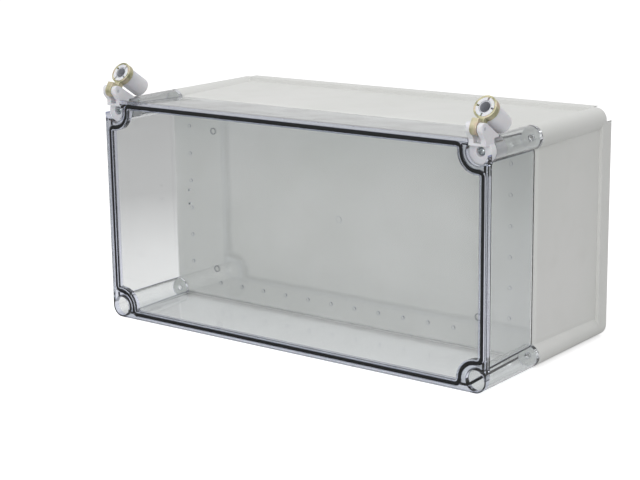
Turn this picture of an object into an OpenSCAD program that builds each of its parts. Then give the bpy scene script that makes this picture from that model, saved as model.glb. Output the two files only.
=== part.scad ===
// Hinged polycarbonate enclosure: a deep clear half and a deeper grey half.
// The halves stand back to back with their rims outward, and the clear half
// carries two hinge sets whose plugs hold the other half when the box is shut.
// X is the width, Y runs from the clear rim to the grey rim, Z is up.

/* [Both halves] */
// Width over the rims
body_w = 560; // [420:10:700]
// Height over the rims
body_h = 280; // [220:10:400]
// Depth of the clear half, from its rim to its closed face
clear_depth = 115; // [90:5:160]
// Depth of the grey half, from its rim to its closed face
base_depth = 162.5; // [110:2.5:220]
// Gap between the two closed faces
face_gap = 0.3; // [0.2:0.1:2]
// Thickness of the side walls
wall_t = 3.2; // [2.4:0.2:4.4]
// Thickness of the closed faces
panel_t = 3.5; // [2.5:0.5:6]
// How far the walls stand back from the rim's outer edge
wall_recess = 4.5; // [4:0.5:7]
// How far a wall leans in between the rim and the closed face
wall_draft = 3; // [1:0.5:5]
// Corner radius of the walls
wall_corner_r = 24; // [18:1:32]
// Radius of the edge round a closed face
face_edge_r = 6; // [4.5:0.5:9]

/* [Rims and seal] */
// Depth of the clear half's rim
clear_rim = 8; // [6.5:0.5:12]
// Depth of the grey half's rim
base_rim = 20; // [12:1:26]
// Distance of the seal's centre line from the rim's outer edge
seal_inset = 6.2; // [5.6:0.2:8]
// Width of the seal's groove
groove_w = 5; // [4:0.5:6]
// Depth of the seal's groove
groove_depth = 4; // [3:0.5:5]
// Gap beside the seal in its groove
seal_gap = 0.1; // [0.05:0.05:0.2]
// How far the seal's crown lies below the rim
seal_sink = 0.3; // [0:0.1:1]
// Width of the lip between the groove and the opening
lip_w = 1.5; // [1.2:0.1:2.5]
// Radius of the seal's bend beside a tower
seal_bend_r = 6; // [5:0.5:9]
// Width of the grey rim's tongue
tongue_w = 2.4; // [1.6:0.2:3]
// Height of the grey rim's tongue
tongue_h = 2.5; // [1.5:0.25:3]

/* [Corner towers] */
// Outer radius of a tower
tower_r = 14; // [13:0.5:17]
// Wall of a tower
tower_wall = 1.8; // [1.4:0.1:2.6]
// Thickness of a tower's end
tower_end_t = 5; // [4:0.5:8]
// Radius of the screw hole in a tower's end
wall_hole_r = 3.25; // [2.25:0.25:4]

/* [Marks on the clear face] */
// Distance between two moulded pips
pip_pitch = 36; // [24:1:60]
// Distance of the side rows of pips from the rim's outer edge
pip_inset_x = 40; // [34:1:60]
// Distance of the top and bottom rows of pips from the rim's outer edge
pip_inset_z = 31; // [30:1:50]
// Radius of a pip
pip_r = 2.2; // [1.5:0.1:3]
// Height of a pip
pip_h = 0.7; // [0.4:0.1:1.2]
// Outer radius of the four ejector rings
ejector_r = 4.2; // [3:0.2:6]
// Radius of the gate mark in the middle
gate_r = 4; // [2:0.5:6]
// Radius of the two pilot holes beside the left row of pips
pilot_r = 1.3; // [1:0.1:2]
// How far the rows of pips are shifted to the left and down
pip_shift = 13.5; // [0:0.5:17]

/* [Mounting bosses in the grey half] */
// Radius of a boss
boss_r = 5; // [4:0.5:7]
// Height of a boss over the closed face
boss_h = 14; // [8:1:25]
// Radius of its screw hole
boss_hole_r = 1.8; // [1.2:0.1:2.5]
// Distance of the outer bosses from the rim's outer edge
boss_inset = 58; // [45:1:80]

/* [Hinge bracket] */
// Distance of the bracket's round face behind the rim
bracket_set_back = 8.2; // [6:0.2:11]
// Distance of the block over the round face behind the rim
block_set_back = 0.8; // [0.4:0.1:3]
// Height of the block's lower edge over the tower's axis
block_rise = 7; // [6.5:0.25:8.5]
// Height of the floor of the slot over the tower's axis
slot_floor = 10; // [9:0.5:11.5]
// Depth of the tower's front that the bracket takes up, from the rim
pocket_depth = 18; // [15:0.5:24]
// Length of the spigot inside the tower
spigot_len = 22; // [16:1:40]
// Width of the slits that let the spigot spread
slit_w = 1.6; // [1:0.2:2.4]
// Height of the hinge pin over the tower's axis
pin_rise = 26.4; // [26:0.2:30]
// Distance of the hinge pin in front of the rim
pin_ahead = 1; // [0:0.25:2]
// Radius of the hinge pin
pin_r = 2; // [1.5:0.25:2.5]
// Radius of the ears round the pin
ear_r = 6.4; // [5.5:0.1:7.5]
// Thickness of an ear
ear_t = 6.4; // [4.5:0.2:7]
// Rounding of the ears' outer corners
ear_round = 3.5; // [1:0.5:4]
// How far the gusset reaches behind the rim
gusset_reach = 27; // [22:1:32]
// Height of the gusset's foot over the tower
gusset_foot = 2; // [1:0.5:4]
// Height of the gusset's shoulder over the tower, at the bracket's round back
gusset_shoulder = 7.5; // [5:0.5:10]

/* [Link] */
// Width of the link's knuckle
knuckle_w = 8.2; // [6:0.2:9]
// Outer radius of the knuckle
knuckle_r = 7.6; // [6.5:0.1:8.2]
// Height of the knuckle's shoulder over the pin
shoulder_rise = 8.6; // [7:0.2:9.4]
// Distance of the ring's middle from the pin, along the plug
ring_shift = 6.6; // [6:0.2:8]
// Outer radius of the ring
ring_r = 13.6; // [12.8:0.1:13.7]
// Length of the ring along the plug
ring_len = 8; // [6:0.5:8.5]

/* [Plug] */
// Radius of the plug's neck in the ring
plug_neck_r = 10.3; // [9:0.1:10.6]
// How far the snap lip stands out over the neck
lip_out = 0.9; // [0.5:0.1:1.2]
// Length of the snap lip along the plug
lip_len = 1.8; // [1.2:0.1:2.4]
// Radius of the metal tube in the plug
tube_r = 7.6; // [6:0.1:8]
// Bore radius of the metal tube
tube_bore_r = 6.2; // [4:0.1:6.6]
// Distance from the ring's middle to the plug's rounded end
plug_reach = 39; // [34:0.5:50]
// Radius of the rounding at the plug's end
plug_round = 3; // [1:0.5:4]
// Width of the four slots in the neck
slot_w = 2.2; // [1.4:0.2:3.2]
// Depth of the four slots
slot_depth = 4; // [2.5:0.5:6]
// How far the left plug is turned in its ring
left_turn = 35; // [0:5:90]
// How far the right plug is turned in its ring
right_turn = 8; // [0:2:90]

/* [Bracket screw] */
// Radius of the screw's head
screw_head_r = 4.7; // [4:0.1:5.5]
// Height of the screw's head
screw_head_h = 3; // [2:0.25:4]
// Radius of the screw's shank
screw_r = 2; // [1.5:0.25:2.5]
// Gap round the screw's head in its recess
head_gap = 0.8; // [0.3:0.1:1]
// Width of the cross recess
cross_w = 1.2; // [0.8:0.1:1.6]
// Length of the cross recess
cross_len = 5.6; // [4:0.2:7]
// Depth of the cross recess
cross_depth = 1.5; // [0.8:0.1:1.8]
// Length of the wedge nut in the spigot
nut_len = 9; // [7:0.5:12]
// How much the wedge nut narrows towards the screw's head
nut_taper = 2.5; // [1.5:0.25:4]

/* [Hidden] */

eps = 0.01;
cut = 1;                    // how far a cut runs past a face
run_gap = 0.06;             // radial gap of a turning fit
side_gap = 0.3;             // gap beside a moving piece
seat_gap = 0.1;             // radial gap of a piece that is pushed in
arc_steps = 8;
least_round = 1.5;          // smallest rounding inside a tub

half_w = body_w / 2;
half_h = body_h / 2;
tower_x = half_w - tower_r;
tower_z = half_h - tower_r;
tower_bore_r = tower_r - tower_wall;
base_y = clear_depth + face_gap;
base_rim_y = base_y + base_depth - tongue_h;

// Seal line: straight sides, an inward notch round each tower
seal_x = half_w - seal_inset;
seal_z = half_h - seal_inset;
notch_r = tower_r + seal_inset;
bend_reach = notch_r + seal_bend_r;
bend_dx = seal_x - seal_bend_r - tower_x;
bend_dz = sqrt(pow(bend_reach, 2) - pow(bend_dx, 2));
bend_angle = atan2(bend_dx, bend_dz);

// Hinge geometry, seen from the side in Y and Z
plug_r = tower_bore_r - 0.2;
pocket_r = tower_r + seat_gap;
drop_to_tower = pin_rise - tower_r - side_gap;
axis_to_skin = pin_rise - plug_r;
// The plug's rounded end lies on the tower, which sets how far it leans down
round_out = ring_shift + plug_reach - plug_round;
round_up = axis_to_skin + plug_round;
rest_tilt = asin((drop_to_tower - plug_round) / norm([round_out, round_up]))
          + atan2(round_up, round_out);
slot_half = knuckle_w / 2 + side_gap;
ear_outer = slot_half + ear_t;
// The link's shoulder sweeps the widest circle about the pin inside the slot
sweep_r = norm([ring_shift + ring_len / 2, shoulder_rise]) + side_gap;
// With the box shut, ring and plug lie this far inside the grey half's tower
ring_pocket = pin_ahead + ring_shift + ring_len / 2 + side_gap;
screw_tip_y = pocket_depth + spigot_len + screw_r;
nut_wide = tower_bore_r - 2 * seat_gap - tower_wall;
nut_narrow = nut_wide - nut_taper;

// Box of the whole part, which sets the origin
front_y = -pin_ahead - max(knuckle_r, ear_r);
back_y = base_y + base_depth;
mid_y = (front_y + back_y) / 2;

module placed() {
    translate([0, -mid_y, half_h]) children();
}

// Extrudes an outline drawn in X and Z from y0 towards +Y
module along_y(y0, len) {
    translate([0, y0 + len, 0]) rotate([90, 0, 0]) linear_extrude(len) children();
}

// A round bar along Y
module rod_y(x, z, y0, y1, r, fn = 64) {
    translate([x, y1, z]) rotate([90, 0, 0]) cylinder(r = r, h = y1 - y0, $fn = fn);
}

// A cone along Y
module cone_y(x, z, y0, y1, r0, r1, fn = 64) {
    translate([x, y0, z]) rotate([-90, 0, 0]) cylinder(r1 = r0, r2 = r1, h = y1 - y0, $fn = fn);
}

module rounded_rect(w, h, r) {
    square([w - 2 * r, h], center = true);
    square([w, h - 2 * r], center = true);
    for (sx = [-1, 1], sz = [-1, 1])
        translate([sx * (w / 2 - r), sz * (h / 2 - r)]) circle(r = r, $fn = 32);
}

module at_towers() {
    for (sx = [-1, 1], sz = [-1, 1]) translate([sx * tower_x, 0, sz * tower_z]) children();
}

function arc(cx, cz, r, a0, a1) =
    [for (i = [0 : arc_steps]) let (a = a0 + (a1 - a0) * i / arc_steps)
        [cx + r * cos(a), cz + r * sin(a)]];

// Top right quarter of the seal line, moved outward by e
function seal_quarter(e) = concat(
    arc(seal_x - seal_bend_r, tower_z - bend_dz, seal_bend_r + e, 0, 90 + bend_angle),
    arc(tower_x, tower_z, notch_r - e, -90 + bend_angle, -180 - bend_angle),
    arc(tower_x - bend_dz, seal_z - seal_bend_r, seal_bend_r + e, -bend_angle, 90));

function flipped(points, sx, sz) = [for (p = points) [sx * p[0], sz * p[1]]];
function reversed(points) = [for (i = [len(points) - 1 : -1 : 0]) points[i]];

function seal_path(e) = let (q = seal_quarter(e)) concat(
    q, reversed(flipped(q, -1, 1)), flipped(q, -1, -1), reversed(flipped(q, 1, -1)));

module seal_band(half_width) {
    difference() {
        polygon(seal_path(half_width));
        polygon(seal_path(-half_width));
    }
}

// Drafted tub with a rounded edge at its closed end; inset moves every wall in
module tub(y0, depth, inset) {
    round_r = max(face_edge_r - inset, least_round);
    y1 = depth - inset * panel_t / wall_t;
    w = body_w - 2 * (wall_recess + inset);
    h = body_h - 2 * (wall_recess + inset);
    corner = wall_corner_r - inset;
    hull() {
        along_y(y0, eps) rounded_rect(w, h, corner);
        for (i = [0 : 4]) {
            a = 90 * i / 4;
            lean = wall_draft + round_r * (1 - cos(a));
            along_y(y1 - round_r * (1 - sin(a)) - eps, eps)
                rounded_rect(w - 2 * lean, h - 2 * lean, corner - lean + wall_draft);
        }
    }
}

// One half of the box, its rim at Y = 0 and its closed face at Y = depth.
// A collar keeps a thicker wall round the front of the two upper towers.
module half_shell(depth, rim, collar = 0) {
    opening = -(groove_w / 2 + lip_w);
    difference() {
        union() {
            along_y(0, rim) rounded_rect(body_w, body_h, tower_r);
            tub(rim / 2, depth, 0);
            at_towers() rod_y(0, 0, 0, depth, tower_r);
        }
        along_y(-cut, rim + cut + eps) polygon(seal_path(opening));
        difference() {
            tub(rim, depth, wall_t);
            at_towers() rod_y(0, 0, 0, depth, tower_r);
            if (collar > 0) for (sx = [-1, 1])
                rod_y(sx * tower_x, tower_z, 0, collar, tower_r + tower_wall);
        }
        at_towers() rod_y(0, 0, -cut, depth - tower_end_t, tower_bore_r);
        at_towers() rod_y(0, 0, 0, depth + cut, wall_hole_r, 32);
    }
}

function pip_row(reach) = [for (i = [ceil((pip_shift - reach) / pip_pitch)
                                    : floor((pip_shift + reach) / pip_pitch)])
    i * pip_pitch - pip_shift];

module pips() {
    face = clear_depth - panel_t;
    for (x = pip_row(half_w - pip_inset_x - tower_r), sz = [-1, 1])
        rod_y(x, sz * (half_h - pip_inset_z), face - pip_h, face + eps, pip_r, 24);
    for (z = pip_row(half_h - pip_inset_z - tower_r), sx = [-1, 1])
        rod_y(sx * (half_w - pip_inset_x), z, face - pip_h, face + eps, pip_r, 24);
    rod_y(0, 0, face - pip_h / 2, face + eps, gate_r, 32);
}

module ejector_rings() {
    face = clear_depth - panel_t;
    for (sx = [-1, 1], sz = [-1, 1]) translate([sx * (half_w - 2 * pip_inset_x), 0,
                                                sz * (half_h - pip_inset_z - pip_pitch / 2)])
        difference() {
            rod_y(0, 0, face - pip_h / 2, face + pip_h / 2, ejector_r, 32);
            rod_y(0, 0, face - pip_h, face + pip_h, ejector_r - pip_h, 32);
        }
}

module clear_cover() {
    color([0.80, 0.86, 0.88, 0.45]) placed() difference() {
        union() {
            half_shell(clear_depth, clear_rim, pocket_depth + tower_wall);
            pips();
        }
        along_y(-cut, groove_depth + cut) seal_band(groove_w / 2);
        ejector_rings();
        for (sx = [-1, 1]) translate([sx * tower_x, 0, tower_z]) {
            rod_y(0, 0, -cut, pocket_depth, pocket_r);
            // room for the bracket's ears in the rim
            translate([-ear_outer - side_gap, -cut, 0])
                cube([2 * (ear_outer + side_gap), pocket_depth + cut, tower_r + cut]);
        }
        for (sz = [-1, 1])
            rod_y(pip_inset_x - half_w - 2 * pip_r, sz * pip_pitch / 4,
                  clear_depth - panel_t - cut, clear_depth + cut, pilot_r, 24);
    }
}

module rim_gasket() {
    color([0.10, 0.10, 0.11]) placed()
        along_y(seal_sink, groove_depth - seal_sink) seal_band(groove_w / 2 - seal_gap);
}

module grey_base() {
    boss_x = half_w - boss_inset;
    boss_z = half_h - boss_inset;
    color([0.82, 0.83, 0.82]) placed() translate([0, base_rim_y, 0]) mirror([0, 1, 0]) {
        shell_depth = base_depth - tongue_h;
        difference() {
            half_shell(shell_depth, base_rim);
            // the hinge rings and their necks sink into the upper towers
            for (sx = [-1, 1]) translate([sx * tower_x, 0, tower_z]) {
                rod_y(0, 0, -cut, ring_pocket, pocket_r);
                translate([-slot_half, -cut, 0])
                    cube([2 * slot_half, ring_pocket + cut, tower_r + cut]);
            }
        }
        along_y(-tongue_h, tongue_h + eps) seal_band(tongue_w / 2);
        for (x = [-boss_x, 0, boss_x], sz = [-1, 1]) difference() {
            rod_y(x, sz * boss_z, shell_depth - panel_t - boss_h, shell_depth - panel_t / 2, boss_r, 32);
            rod_y(x, sz * boss_z, shell_depth - panel_t - boss_h - cut, shell_depth - panel_t,
                  boss_hole_r, 24);
        }
    }
}

// The hinge pieces are drawn with the tower's axis on Y and the rim at Y = 0
module on_side(side) {
    placed() translate([side * tower_x, 0, tower_z]) children();
}

// Turns a plate drawn in Y and Z so that it spans the given X range
module plate_x(x0, x1) {
    translate([x0, 0, 0]) rotate([90, 0, 90]) linear_extrude(x1 - x0) children();
}

// Side view of the bracket over the round face, in Y and Z
module ear_outline() {
    hull() {
        translate([-pin_ahead, pin_rise]) circle(r = ear_r, $fn = 48);
        translate([pocket_depth - seat_gap - cut, tower_r + side_gap]) square([cut, gusset_shoulder]);
        translate([gusset_reach - cut, tower_r + side_gap]) square([cut, gusset_foot]);
        translate([block_set_back, tower_r + side_gap]) square([cut, cut]);
    }
    translate([block_set_back, block_rise])
        square([pocket_depth - seat_gap - block_set_back, tower_r + cut - block_rise]);
}

// Top view of the bracket over the round face, in X and Y, its front corners rounded
module block_outline() {
    front = -pin_ahead - ear_r;
    for (sx = [-1, 1]) translate([sx * (ear_outer - ear_round), front + ear_round])
        circle(r = ear_round, $fn = 32);
    translate([ear_round - ear_outer, front])
        square([2 * (ear_outer - ear_round), gusset_reach - front + cut]);
    translate([-ear_outer, front + ear_round]) square([2 * ear_outer, gusset_reach - front]);
}

module bracket(side) {
    spigot_r = tower_bore_r - seat_gap;
    spigot_end = pocket_depth + spigot_len;
    color("white") on_side(side) difference() {
        union() {
            rod_y(0, 0, bracket_set_back, pocket_depth - seat_gap, tower_r - seat_gap);
            rod_y(0, 0, pocket_depth - seat_gap - eps, spigot_end, spigot_r);
            intersection() {
                plate_x(-ear_outer, ear_outer) ear_outline();
                linear_extrude(body_h) block_outline();
            }
        }
        // slot for the knuckle and its shoulder
        translate([-slot_half, -body_h, slot_floor])
            cube([2 * slot_half, body_h + bracket_set_back, body_h]);
        translate([0, -pin_ahead, pin_rise]) rotate([0, 90, 0])
            cylinder(r = sweep_r, h = 2 * slot_half, center = true, $fn = 64);
        // pin bore
        translate([-body_w / 2, -pin_ahead, pin_rise]) rotate([0, 90, 0])
            cylinder(r = pin_r + run_gap, h = body_w, $fn = 32);
        // screw: head recess, clearance hole, cone for the wedge nut
        rod_y(0, 0, bracket_set_back - cut, bracket_set_back + screw_head_h, screw_head_r + head_gap, 48);
        rod_y(0, 0, bracket_set_back, spigot_end + cut, screw_r + side_gap, 32);
        cone_y(0, 0, spigot_end - nut_len, spigot_end + eps, nut_narrow + seat_gap, nut_wide + seat_gap);
        for (turn = [45, 135]) rotate([0, turn, 0])
            translate([-tower_r, spigot_end - 2 * nut_len, -slit_w / 2])
                cube([2 * tower_r, 2 * nut_len + cut, slit_w]);
    }
}

module bracket_screw(side) {
    head_y = bracket_set_back + side_gap;
    seat = bracket_set_back + screw_head_h;
    color("silver") on_side(side) difference() {
        union() {
            rod_y(0, 0, head_y, seat, screw_head_r, 48);
            rod_y(0, 0, seat - eps, screw_tip_y, screw_r, 32);
        }
        for (turn = [0, 90]) rotate([0, turn, 0])
            translate([-cross_len / 2, head_y - cut, -cross_w / 2])
                cube([cross_len, cut + cross_depth, cross_w]);
    }
}

module wedge_nut(side) {
    nut_y = pocket_depth + spigot_len;
    color("goldenrod") on_side(side) difference() {
        cone_y(0, 0, nut_y - nut_len + side_gap, nut_y, nut_narrow, nut_wide);
        rod_y(0, 0, 0, nut_y + cut, screw_r + eps, 32);
    }
}

module hinge_pin(side) {
    color("silver") on_side(side) translate([-ear_outer, -pin_ahead, pin_rise]) rotate([0, 90, 0])
        cylinder(r = pin_r, h = 2 * ear_outer, $fn = 32);
}

// The link and the plug are drawn with the plug's axis on Y, the ring's middle at
// Y = 0 and the pin below and in front of it, then laid down over the tower
module laid_down(side) {
    on_side(side) translate([0, -pin_ahead, pin_rise]) rotate([-rest_tilt, 0, 0])
        translate([0, ring_shift, pin_rise]) children();
}

module link(side) {
    front = -ring_len / 2;
    color("goldenrod") laid_down(side) difference() {
        union() {
            rod_y(0, 0, front, -front, ring_r);
            translate([0, -ring_shift, -pin_rise]) rotate([0, 90, 0])
                cylinder(r = knuckle_r, h = knuckle_w, center = true, $fn = 64);
            // shoulder over the knuckle, and the neck that carries the ring
            translate([-knuckle_w / 2, -ring_shift - knuckle_r, -pin_rise])
                cube([knuckle_w, knuckle_r, shoulder_rise]);
            translate([-knuckle_w / 2, -ring_shift, shoulder_rise - pin_rise - knuckle_r])
                cube([knuckle_w, ring_shift - front, knuckle_r]);
            translate([-knuckle_w / 2, front, -pin_rise])
                cube([knuckle_w, ring_len, pin_rise]);
        }
        rod_y(0, 0, -body_w, body_w, plug_neck_r + run_gap);
        cone_y(0, 0, front - eps, front + lip_len, plug_neck_r + lip_out + 2 * run_gap,
               plug_neck_r + run_gap);
        translate([0, -ring_shift, -pin_rise]) rotate([0, 90, 0])
            cylinder(r = pin_r + run_gap, h = body_w, center = true, $fn = 32);
    }
}

module plug(side) {
    shoulder = ring_len / 2 + side_gap;
    front = -ring_len / 2;
    tube_end = plug_reach - 2 * plug_round;
    color("white") laid_down(side) difference() {
        rotate([-90, 0, 0]) rotate_extrude($fn = 96) polygon(concat(
            [[0, front], [plug_neck_r + lip_out - run_gap, front],
             [plug_neck_r, front + lip_len], [plug_neck_r, shoulder], [plug_r, shoulder]],
            arc(plug_r - plug_round, plug_reach - plug_round, plug_round, 0, 90),
            [[0, plug_reach]]));
        rod_y(0, 0, front - cut, tube_end, tube_r);
        for (turn = [0, 90]) rotate([0, turn + (side < 0 ? left_turn : right_turn), 0])
            translate([-tower_r, front - cut, -slot_w / 2])
                cube([2 * tower_r, slot_depth + cut, slot_w]);
    }
}

module plug_tube(side) {
    front = -ring_len / 2;
    tube_end = plug_reach - 2 * plug_round;
    color("dimgray") laid_down(side) difference() {
        rod_y(0, 0, front + side_gap, tube_end, tube_r - seat_gap);
        rod_y(0, 0, front - cut, tube_end - plug_round, tube_bore_r, 48);
    }
}

clear_cover();
rim_gasket();
grey_base();
bracket(-1);  // left_bracket
bracket_screw(-1);  // left_bracket_screw
wedge_nut(-1);  // left_wedge_nut
hinge_pin(-1);  // left_hinge_pin
link(-1);  // left_link
plug(-1);  // left_plug
plug_tube(-1);  // left_plug_tube
bracket(1);  // right_bracket
bracket_screw(1);  // right_bracket_screw
wedge_nut(1);  // right_wedge_nut
hinge_pin(1);  // right_hinge_pin
link(1);  // right_link
plug(1);  // right_plug
plug_tube(1);  // right_plug_tube
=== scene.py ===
# %% [markdown]
# # A hinged polycarbonate enclosure
# The box is moulded in two deep halves: one clear, one grey. They stand back to back
# with their open rims outward. The clear half carries a black rubber seal and two
# hinge sets, each with a bracket, a cast link and a plug for the other half's tower.
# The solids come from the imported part. This lesson dresses them and lights them.

# %% Load the frame
import math

import bmesh
import bpy
from mathutils import Matrix, Vector


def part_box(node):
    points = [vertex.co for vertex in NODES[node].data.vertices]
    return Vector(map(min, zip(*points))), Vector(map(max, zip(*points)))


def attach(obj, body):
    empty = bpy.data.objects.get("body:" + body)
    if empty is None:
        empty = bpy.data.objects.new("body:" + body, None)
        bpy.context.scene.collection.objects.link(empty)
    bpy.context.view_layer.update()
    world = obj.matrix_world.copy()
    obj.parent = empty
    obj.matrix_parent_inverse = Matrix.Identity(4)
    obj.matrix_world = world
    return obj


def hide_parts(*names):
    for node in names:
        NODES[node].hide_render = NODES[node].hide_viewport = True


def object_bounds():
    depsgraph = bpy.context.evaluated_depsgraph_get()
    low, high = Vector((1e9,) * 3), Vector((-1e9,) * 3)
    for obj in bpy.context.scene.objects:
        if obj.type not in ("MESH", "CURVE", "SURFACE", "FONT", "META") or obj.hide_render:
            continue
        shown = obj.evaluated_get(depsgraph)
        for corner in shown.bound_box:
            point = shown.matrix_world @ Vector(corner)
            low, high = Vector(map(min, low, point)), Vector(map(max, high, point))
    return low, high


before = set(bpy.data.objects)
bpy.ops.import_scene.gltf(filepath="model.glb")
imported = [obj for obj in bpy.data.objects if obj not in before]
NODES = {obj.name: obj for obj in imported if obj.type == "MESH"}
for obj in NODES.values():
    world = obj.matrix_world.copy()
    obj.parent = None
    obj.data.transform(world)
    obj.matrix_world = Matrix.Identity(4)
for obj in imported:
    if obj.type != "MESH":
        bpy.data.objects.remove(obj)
CAD_BOX = [list(map(float, corner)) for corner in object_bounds()]
CLEAR_LOW, CLEAR_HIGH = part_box("clear_cover")
MM = 0.001
print("nodes", len(NODES), "box", CAD_BOX)

# %% [markdown]
# ## Camera
# The box is seen from its right front corner, a little above it, with a long lens.
# The camera is placed from the clear rim's corner, so it follows the part.

# %% Place the camera
EYE = Vector((1.1660, CLEAR_LOW.y - 1.4425, 0.5763))
YAW, PITCH, ROLL = 0.667352, 0.229304, -0.0170415
LENS_MM, SENSOR_MM = 91.74, 36.0

look = Vector((-math.sin(YAW) * math.cos(PITCH), math.cos(YAW) * math.cos(PITCH), -math.sin(PITCH)))
right = Vector((math.cos(YAW), math.sin(YAW), 0))
up = right.cross(look)
tilted_right = math.cos(ROLL) * right + math.sin(ROLL) * up
tilted_up = -math.sin(ROLL) * right + math.cos(ROLL) * up
camera = bpy.data.objects.new("camera", bpy.data.cameras.new("camera"))
camera.matrix_world = Matrix.LocRotScale(
    EYE, Matrix((tilted_right, tilted_up, -look)).transposed(), None)
camera.data.sensor_width = SENSOR_MM
camera.data.lens = LENS_MM
camera.data.shift_x = 0.0292
camera.data.shift_y = -0.0097
bpy.context.scene.collection.objects.link(camera)
bpy.context.scene.camera = camera
print("camera at", tuple(round(v, 3) for v in EYE))

# %% [markdown]
# ## Writing shaders as sums
# A finish is easier to read as a formula than as a drawing of boxes and wires. `Socket`
# wraps one output, and each operator on it adds a Math node. `Finish` holds a node tree
# and has one method that makes any other node: its settings first, then its sockets.

# %% Shader helpers
class Socket:
    """One value on its way through a shader."""

    def __init__(self, finish, output):
        self.finish, self.output = finish, output

    def math(self, operation, first, second):
        return self.finish.node("ShaderNodeMath", {"operation": operation},
                                {0: first, 1: second})

    def __add__(self, other):
        return self.math("ADD", self, other)

    __radd__ = __add__

    def __sub__(self, other):
        return self.math("SUBTRACT", self, other)

    def __rsub__(self, other):
        return self.math("SUBTRACT", other, self)

    def __mul__(self, other):
        return self.math("MULTIPLY", self, other)

    __rmul__ = __mul__

    def size(self):
        """The value without its sign."""
        return self.math("ABSOLUTE", self, 0.0)

    def step(self, low, high):
        """0 below low, 1 above high, and a ramp between them."""
        return self.finish.node("ShaderNodeMapRange", {"clamp": True},
                                {0: self, 1: low, 2: high})


class Finish:
    """A node tree, and the short words that this object's finishes are made of."""

    def __init__(self, tree):
        self.tree = tree
        tree.nodes.clear()

    def node(self, kind, settings=None, sockets=None, output=0):
        made = self.tree.nodes.new(kind)
        for name, value in (settings or {}).items():
            if name == "stops":
                ramp = made.color_ramp.elements
                while len(ramp) < len(value):
                    ramp.new(0.5)
                for element, (place, colour) in zip(ramp, value):
                    element.position, element.color = place, (*colour, 1)
            else:
                setattr(made, name, value)
        for name, value in (sockets or {}).items():
            if isinstance(value, Socket):
                self.tree.links.new(value.output, made.inputs[name])
            else:
                made.inputs[name].default_value = value
        return Socket(self, made.outputs[output]) if made.outputs else made

    def place(self):
        return self.node("ShaderNodeTexCoord", output="Object")

    def depth(self):
        """The place along Y, from the front to the back of the box."""
        return self.node("ShaderNodeSeparateXYZ", {}, {0: self.place()}, output="Y")

    def cloud(self, size, detail=2.0, stretch=(1, 1, 1), rough=0.5):
        """Soft noise whose blotches are about `size` metres across, from 0 to 1."""
        at = self.node("ShaderNodeMapping", {"vector_type": "POINT"},
                       {"Vector": self.place(), "Scale": stretch})
        return self.node("ShaderNodeTexNoise", {}, {
            "Vector": at, "Scale": 1 / size, "Detail": detail, "Roughness": rough})

    def mix(self, share, first, second):
        """A colour between two colours."""
        return self.node("ShaderNodeMix", {"data_type": "RGBA", "clamp_factor": True},
                         {0: share, 6: first, 7: second}, output=2)

    def vector(self, operation, first, second=(0, 0, 0), output=0):
        return self.node("ShaderNodeVectorMath", {"operation": operation},
                         {0: first, 1: second}, output=output)

    def soft_normal(self, radius):
        return self.node("ShaderNodeBevel", {"samples": 6}, {"Radius": radius})

    def edges(self, radius, sharpness=3.0):
        """1 along the outer and inner edges of a solid, 0 on its faces."""
        flat = self.node("ShaderNodeNewGeometry", output="Normal")
        meet = self.vector("DOT_PRODUCT", self.soft_normal(radius), flat, output="Value")
        return ((1 - meet) * sharpness).step(0.02, 0.9)

    def bump(self, height, depth, normal=None):
        sockets = {"Height": height, "Distance": depth, "Strength": 1.0}
        if normal is not None:
            sockets["Normal"] = normal
        return self.node("ShaderNodeBump", {}, sockets)

    def surface(self, shader, volume=None):
        sockets = {"Surface": shader}
        if volume is not None:
            sockets["Volume"] = volume
        self.node("ShaderNodeOutputMaterial", {}, sockets)


def new_finish(name):
    material = bpy.data.materials.new(name)
    material.use_nodes = True
    return material, Finish(material.node_tree)


def rgb(red, green, blue):
    """A screen colour from 0 to 255, as the light values that a shader needs."""
    def linear(v):
        v = v / 255
        return v / 12.92 if v <= 0.04045 else ((v + 0.055) / 1.055) ** 2.4
    return (linear(red), linear(green), linear(blue), 1)


print("helpers ready")

# %% [markdown]
# ## Grey moulded polycarbonate
# The grey half is thick, light grey, and has the fine dull grain of a spark-eroded
# mould. A painted highlight lightens its edges, which are also rubbed a little smoother,
# and a hint of dust lies in blotches on the faces.

# %% Grey plastic
def grey_moulding():
    material, f = new_finish("grey_moulding")
    tone = f.cloud(0.16, 3.0)
    dust = f.cloud(0.035, 4.0)
    grain = f.cloud(0.0009, 2.0)
    edge_highlight = f.edges(0.0016)
    colour = f.mix(tone.step(0.35, 0.65), rgb(216, 217, 214), rgb(221, 221, 219))
    colour = f.mix(dust.step(0.5, 0.8) * 0.35, colour, rgb(209, 209, 205))
    # Painted highlight: the edges are lightened towards a paler grey; the same mask also makes them
    # a little smoother where they are rubbed.
    colour = f.mix(edge_highlight * 0.45, colour, rgb(233, 234, 233))
    shader = f.node("ShaderNodeBsdfPrincipled", {}, {
        "Base Color": colour,
        "Roughness": 0.46 + 0.12 * dust - 0.12 * edge_highlight,
        "Specular IOR Level": 0.45,
        "Normal": f.bump(grain, 0.000008, f.soft_normal(0.0014)),
    })
    f.surface(shader)
    return material


GREY = grey_moulding()
print(GREY.name)

# %% [markdown]
# ## Clear polycarbonate
# The clear half is a real solid with walls three millimetres thick, so it can simply
# refract. A little absorption inside tints it blue, and a painted blue shade darkens its
# rims and long edges, which look blue on the real moulding. Lamps shine straight
# through it: the shadow ray takes a transparent shader instead, which saves the
# renderer from hunting for caustics.

# %% Clear plastic
EJECTOR_X, EJECTOR_Z, EJECTOR_R = 200 * MM, 91 * MM, 3.9 * MM


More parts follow.
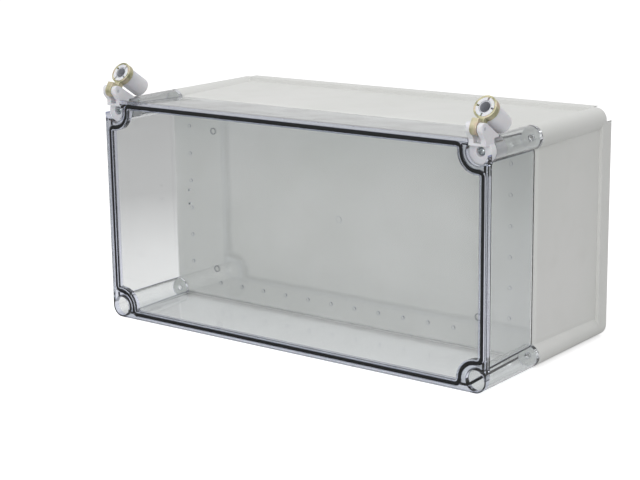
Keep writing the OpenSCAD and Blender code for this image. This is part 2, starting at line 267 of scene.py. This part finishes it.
def ejector_marks(f):
    """The four fine rings that the mould's ejector pins leave on the closed face."""
    middle = (0, 0, (CLEAR_LOW.z + CLEAR_HIGH.z) / 2)
    offset = f.vector("SUBTRACT", f.place(), middle)
    folded = f.vector("MULTIPLY", f.vector("ABSOLUTE", offset), (1, 0, 1))
    reach = f.vector("DISTANCE", folded, (EJECTOR_X, 0, EJECTOR_Z), output="Value")
    line = 1 - (reach - EJECTOR_R).size().step(0.2 * MM, 0.55 * MM)
    return line * f.depth().step(CLEAR_HIGH.y - 6 * MM, CLEAR_HIGH.y - 5 * MM)


def clear_moulding():
    material, f = new_finish("clear_moulding")
    ripple = f.cloud(0.05, 1.0)
    haze = f.cloud(0.09, 3.0)
    scuff = f.cloud(0.004, 2.0, stretch=(1, 1, 12))
    colour = f.mix(haze.step(0.3, 0.7), rgb(250, 251, 251), rgb(253, 254, 254))
    # Painted shade: the long edges are darkened to blue.
    colour = f.mix(f.edges(0.0012, 4.0) * 0.75, colour, rgb(150, 160, 214))
    # Painted shade: the band next to the open rim is tinted a darker blue.
    rim = 1 - f.depth().step(CLEAR_LOW.y + 7 * MM, CLEAR_LOW.y + 9 * MM)
    colour = f.mix(rim * 0.3, colour, rgb(176, 186, 234))
    colour = f.mix(ejector_marks(f) * 0.75, colour, rgb(120, 124, 128))
    glass = f.node("ShaderNodeBsdfPrincipled", {}, {
        "Base Color": colour,
        "Roughness": 0.012 + 0.03 * haze.step(0.5, 0.8) * scuff.step(0.55, 0.8),
        "IOR": 1.585,
        "Transmission Weight": 1.0,
        "Normal": f.bump(ripple, 0.0002),
    })
    clear = f.node("ShaderNodeBsdfTransparent", {}, {"Color": rgb(250, 251, 251)})
    shadow = f.node("ShaderNodeLightPath", output="Is Shadow Ray")
    inside = f.node("ShaderNodeVolumeAbsorption", {}, {
        "Color": (0.42, 0.55, 0.78, 1), "Density": 3.5})
    f.surface(f.node("ShaderNodeMixShader", {}, {0: shadow, 1: glass, 2: clear}), inside)
    return material


CLEAR = clear_moulding()
print(CLEAR.name)

# %% [markdown]
# ## Rubber, nylon and metal
# The seal is soft black rubber with a dull skin. The brackets and plugs are white
# nylon. The links are die-cast zinc with a yellow passivation that shimmers from
# straw to green and rose. Screws and pins are bright zinc, and the tubes are dull steel.
# The nylon and all the metals carry a painted highlight along their edges.

# %% Small finishes
def seal_rubber():
    material, f = new_finish("seal_rubber")
    dust = f.cloud(0.006, 4.0)
    skin = f.cloud(0.0008, 2.0)
    colour = f.mix(dust.step(0.5, 0.8) * 0.5, rgb(30, 31, 32), rgb(46, 48, 50))
    f.surface(f.node("ShaderNodeBsdfPrincipled", {}, {
        "Base Color": colour,
        "Roughness": 0.7 + 0.15 * dust,
        "Specular IOR Level": 0.25,
        "Normal": f.bump(skin, 0.00002),
    }))
    return material


def white_nylon():
    material, f = new_finish("white_nylon")
    tone = f.cloud(0.02, 3.0)
    skin = f.cloud(0.0011, 2.0)
    edge_highlight = f.edges(0.0009)
    colour = f.mix(tone.step(0.35, 0.7), rgb(222, 222, 227), rgb(231, 231, 234))
    # Painted highlight: the edges are lightened towards a brighter white.
    colour = f.mix(edge_highlight * 0.5, colour, rgb(242, 242, 245))
    f.surface(f.node("ShaderNodeBsdfPrincipled", {}, {
        "Base Color": colour,
        "Roughness": 0.38 + 0.1 * tone,
        "Subsurface Weight": 0.08,
        "Subsurface Scale": 0.004,
        "Normal": f.bump(skin, 0.00003, f.soft_normal(0.0008)),
    }))
    return material


def yellow_zinc():
    material, f = new_finish("yellow_zinc")
    sheen = f.cloud(0.011, 3.0)
    cast = f.cloud(0.0012, 3.0)
    edge_highlight = f.edges(0.0009)
    colour = f.node("ShaderNodeValToRGB", {"stops": [
        (0.32, rgb(142, 141, 112)[:3]), (0.44, rgb(186, 182, 150)[:3]),
        (0.55, rgb(204, 196, 170)[:3]), (0.68, rgb(200, 180, 160)[:3])]}, {0: sheen})
    # Painted highlight: the edges are lightened towards a pale straw; the same mask also makes them
    # a little smoother.
    colour = f.mix(edge_highlight * 0.8, colour, rgb(246, 243, 222))
    f.surface(f.node("ShaderNodeBsdfPrincipled", {}, {
        "Base Color": colour,
        "Metallic": 0.9,
        "Roughness": 0.42 - 0.14 * edge_highlight + 0.1 * cast,
        "Normal": f.bump(cast, 0.00012, f.soft_normal(0.0008)),
    }))
    return material


def metal(name, low, high, dull, radius=0.0004, metallic=0.95):
    """A plain machined metal whose colour drifts between two tones."""
    material, f = new_finish(name)
    tone = f.cloud(0.004, 3.0)
    lines = f.cloud(0.0006, 2.0, stretch=(8, 1, 1))
    edge_highlight = f.edges(radius)
    colour = f.mix(tone.step(0.35, 0.65), low, high)
    # Painted highlight: the edges are lightened towards a pale grey.
    colour = f.mix(edge_highlight * 0.4, colour, rgb(238, 238, 238))
    f.surface(f.node("ShaderNodeBsdfPrincipled", {}, {
        "Base Color": colour,
        "Metallic": metallic,
        "Roughness": dull + 0.12 * lines,
        "Normal": f.bump(lines, 0.00002, f.soft_normal(radius)),
    }))
    return material


RUBBER = seal_rubber()
NYLON = white_nylon()
ZINC = yellow_zinc()
BRIGHT = metal("bright_zinc", rgb(150, 158, 162), rgb(188, 194, 196), 0.16)
STEEL = metal("dull_steel", rgb(186, 188, 194), rgb(206, 208, 214), 0.5, metallic=0.3)
BRASS = metal("nut_brass", rgb(176, 150, 92), rgb(200, 174, 112), 0.3)
print([m.name for m in (RUBBER, NYLON, ZINC, BRIGHT, STEEL, BRASS)])

# %% [markdown]
# ## Dressing the solids
# Every solid keeps its shape, and only its finish is assigned here.

# %% Assign finishes
FINISH_OF = {"clear_cover": CLEAR, "grey_base": GREY}
for side in ("left", "right"):
    FINISH_OF.update({
        side + "_bracket": NYLON, side + "_plug": NYLON, side + "_link": ZINC,
        side + "_bracket_screw": BRIGHT, side + "_hinge_pin": STEEL,
        side + "_plug_tube": STEEL, side + "_wedge_nut": BRASS})


def dress(piece, material):
    piece.data.materials.clear()
    piece.data.materials.append(material)


for name, material in FINISH_OF.items():
    dress(NODES[name], material)
print("dressed", len(FINISH_OF))

# %% [markdown]
# ## The seal
# The seal is one endless extruded cord that lies in the rim's groove and bows inward
# round each corner tower. It is swept here along that line with a crowned profile,
# which a flat band would not show.

# %% Sweep the seal
SEAL_INSET, TOWER_R, BEND_R = 6.2 * MM, 14 * MM, 6 * MM
HALF_W = (CLEAR_HIGH.x - CLEAR_LOW.x) / 2
HALF_H = (CLEAR_HIGH.z - CLEAR_LOW.z) / 2
SEAL_LOW, SEAL_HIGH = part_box("rim_gasket")
CROWN_H, SIDE_TOP = 1.5 * MM, 1.9 * MM


def seal_line(steps=14):
    """Points and outward normals along the seal, in X and Z, from the top right quarter."""
    tower_x, tower_z = HALF_W - TOWER_R, HALF_H - TOWER_R
    seal_x, seal_z = HALF_W - SEAL_INSET, HALF_H - SEAL_INSET
    notch = TOWER_R + SEAL_INSET
    across = seal_x - BEND_R - tower_x
    down = math.sqrt((notch + BEND_R) ** 2 - across ** 2)
    lean = math.atan2(across, down)
    quarter = math.pi / 2
    arcs = [(seal_x - BEND_R, tower_z - down, BEND_R, 0, quarter + lean, 1),
            (tower_x, tower_z, notch, -quarter + lean, -2 * quarter - lean, -1),
            (tower_x - down, seal_z - BEND_R, BEND_R, -lean, quarter, 1)]
    line = []
    for cx, cz, r, start, end, outward in arcs:
        for i in range(steps + 1):
            a = start + (end - start) * i / steps
            turn = Vector((math.cos(a), math.sin(a)))
            line.append((Vector((cx, cz)) + r * turn, outward * turn))
    whole = list(line)
    for sx, sz in ((-1, 1), (-1, -1), (1, -1)):
        part = [(Vector((p.x * sx, p.y * sz)), Vector((n.x * sx, n.y * sz))) for p, n in line]
        whole += part if sx == sz else part[::-1]
    return whole


def seal_profile():
    """Outline of the cord across its run: (sideways, depth from the crown)."""
    half = (SEAL_HIGH.x - SEAL_LOW.x) / 2 - (HALF_W - SEAL_INSET)
    deep = SEAL_HIGH.y - SEAL_LOW.y
    crown = [(half * math.sin(a), CROWN_H * (1 - math.cos(a)))
             for a in [math.radians(d) for d in range(-80, 81, 20)]]
    return [(-half, deep), (-half, SIDE_TOP), *crown, (half, SIDE_TOP), (half, deep)]


def to_piece(name, mesh, smooth=True):
    """Turns a finished bmesh into an object in the scene."""
    data = bpy.data.meshes.new(name)
    mesh.to_mesh(data)
    mesh.free()
    data.polygons.foreach_set("use_smooth", [smooth] * len(data.polygons))
    piece = bpy.data.objects.new(name, data)
    bpy.context.scene.collection.objects.link(piece)
    return piece


def sweep_seal():
    mesh = bmesh.new()
    rings = []
    middle_z = (CLEAR_LOW.z + CLEAR_HIGH.z) / 2
    for point, out in seal_line():
        rings.append([mesh.verts.new((point.x + out.x * s, SEAL_LOW.y + d,
                                      middle_z + point.y + out.y * s))
                      for s, d in seal_profile()])
    count = len(rings[0])
    for a, b in zip(rings, rings[1:] + rings[:1]):
        for i in range(count):
            j = (i + 1) % count
            mesh.faces.new((a[i], a[j], b[j], b[i]))
    bmesh.ops.remove_doubles(mesh, verts=mesh.verts, dist=1e-6)
    bmesh.ops.recalc_face_normals(mesh, faces=mesh.faces)
    return to_piece("seal_cord", mesh)


seal = sweep_seal()
dress(seal, RUBBER)
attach(seal, "clear_half")
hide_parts("rim_gasket")
print("seal faces", len(seal.data.polygons))

# %% [markdown]
# ## The bracket screws
# Each bracket is drawn into its tower by a pan-head screw with a cross recess. Its
# head is turned from a domed profile, and the cross is cut with two crossed bars, so
# that the dome catches the light and the recess stays dark.

# %% Turn the screws
def lathe(name, profile, centre, steps=40):
    """Turns (radius, depth) pairs round a line along Y through `centre`."""
    mesh = bmesh.new()
    rings = []
    for radius, depth in profile:
        ring = [mesh.verts.new((centre.x + radius * math.cos(a), centre.y + depth,
                                centre.z + radius * math.sin(a)))
                for a in [2 * math.pi * i / steps for i in range(steps)]]
        rings.append(ring)
    for a, b in zip(rings, rings[1:]):
        for i in range(steps):
            j = (i + 1) % steps
            mesh.faces.new((a[i], b[i], b[j], a[j]))
    mesh.faces.new(rings[0])
    mesh.faces.new(rings[-1][::-1])
    bmesh.ops.recalc_face_normals(mesh, faces=mesh.faces)
    return to_piece(name, mesh)


CROSS_TURN = 0.6
SHANK_R, HEAD_H = 2.0 * MM, 2.7 * MM
CROSS_LONG, CROSS_WIDE, CROSS_DEEP = 5.4 * MM, 1.2 * MM, 1.5 * MM
# Dome of the head: share of its radius, and millimetres behind its crown
DOME = [(0.12, 0.0), (0.35, 0.05), (0.62, 0.4), (0.82, 0.9), (0.94, 1.5), (1.0, 2.1), (1.0, 2.65)]


def cut_cross(piece, centre, length, width, depth):
    """Cuts two crossed bars out of the front of a piece and keeps the result as its mesh."""
    for turn in (0, math.pi / 2):
        mesh = bmesh.new()
        bmesh.ops.create_cube(mesh, size=1)
        bar = to_piece("bar", mesh, smooth=False)
        bar.matrix_world = Matrix.Translation(centre) @ Matrix.Rotation(turn + CROSS_TURN, 4, "Y") \
            @ Matrix.Diagonal((length, 2 * depth, width, 1))
        bpy.context.view_layer.update()
        modifier = piece.modifiers.new("cross", "BOOLEAN")
        modifier.object, modifier.solver = bar, "EXACT"
        shape = piece.evaluated_get(bpy.context.evaluated_depsgraph_get())
        piece.data = bpy.data.meshes.new_from_object(shape)
        piece.modifiers.clear()
        bpy.data.objects.remove(bar)


def bracket_screw(side):
    node = side + "_bracket_screw"
    low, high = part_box(node)
    head_r, long = (high.x - low.x) / 2, high.y - low.y
    front = Vector(((low.x + high.x) / 2, low.y, (low.z + high.z) / 2))
    profile = [(head_r * share, depth * MM) for share, depth in DOME]
    profile += [(SHANK_R, HEAD_H), (SHANK_R, long)]
    screw = lathe(side + "_pan_screw", profile, front)
    cut_cross(screw, front, CROSS_LONG, CROSS_WIDE, CROSS_DEEP)
    dress(screw, BRIGHT)
    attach(screw, "clear_half")
    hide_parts(node)
    return screw


for side in ("left", "right"):
    print(bracket_screw(side).name)

# %% [markdown]
# ## Floor and light
# The box stands on a plain white table in a light tent. A large soft lamp hangs over
# it, another stands in front and to the right, and the tent glows evenly. The camera
# sees table and tent as white, while the clear walls show them as pale grey. Round the
# box the table carries a painted pool of light: it is paler there, and glows a little
# to rays that come through the clear walls.

# %% Floor
def table_top():
    material, f = new_finish("table_top")
    paper = f.cloud(0.3, 2.0)
    beyond_painted_pool = f.vector("LENGTH", f.place(), output="Value").step(0.35, 0.9)
    colour = f.mix(paper, (0.74, 0.74, 0.74, 1), (0.77, 0.77, 0.77, 1))
    # Painted pool of light: the table is paler near the box and darker beyond it.
    colour = f.mix(beyond_painted_pool, colour, (0.58, 0.58, 0.58, 1))
    shade = f.node("ShaderNodeBsdfDiffuse", {}, {"Color": colour})
    seen = f.node("ShaderNodeLightPath", output="Is Camera Ray")
    through = f.node("ShaderNodeLightPath", output="Is Transmission Ray")
    # Camera rays see the table as an even white; rays through the clear walls see a painted pool of
    # light that glows round the box.
    glow = f.node("ShaderNodeEmission", {}, {
        "Color": (1, 1, 1, 1),
        "Strength": seen * (0.56 + 0.16 * beyond_painted_pool) + through * (1 - beyond_painted_pool) * 0.18})
    f.surface(f.node("ShaderNodeAddShader", {}, {0: shade, 1: glow}))
    return material


TABLE_GAP = 0.2 * MM


def make_floor(size=14.0):
    mesh = bmesh.new()
    bmesh.ops.create_grid(mesh, x_segments=8, y_segments=8, size=size / 2)
    table = to_piece("table", mesh, smooth=False)
    table.location = (0, 0, CAD_BOX[0][2] - TABLE_GAP)
    dress(table, table_top())
    return table


make_floor()

# %% World and lamps
def tent():
    world = bpy.data.worlds.new("tent")
    bpy.context.scene.world = world
    world.use_nodes = True
    f = Finish(world.node_tree)
    camera_ray = f.node("ShaderNodeLightPath", output="Is Camera Ray")
    glossy_ray = f.node("ShaderNodeLightPath", output="Is Glossy Ray")
    through_ray = f.node("ShaderNodeLightPath", output="Is Transmission Ray")
    seen = 0.62 + 0.2 * glossy_ray * (1 - through_ray) - 0.24 * through_ray
    level = camera_ray + (1 - camera_ray) * seen
    backdrop = f.node("ShaderNodeBackground", {}, {
        "Color": f.mix(through_ray, (1, 1, 1, 1), (0.97, 0.98, 0.98, 1)),
        "Strength": level})
    f.node("ShaderNodeOutputWorld", {}, {"Surface": backdrop})
    return world


def lamp(name, place, aim, size, watts):
    data = bpy.data.lights.new(name, "AREA")
    data.shape = "RECTANGLE"
    data.size, data.size_y = size
    data.energy = watts
    made = bpy.data.objects.new(name, data)
    made.location = place
    made.rotation_euler = (Vector(aim) - Vector(place)).to_track_quat("-Z", "Y").to_euler()
    bpy.context.scene.collection.objects.link(made)
    return made


tent()
MIDDLE = (0, 0, 0.14)
lamp("roof_lamp", (-0.3, -0.4, 2.4), MIDDLE, (2.6, 2.2), 18)
lamp("front_lamp", (1.2, -3.0, 1.5), MIDDLE, (2.4, 1.8), 31)
view = bpy.context.scene.view_settings
view.view_transform = "Standard"
print("lit")
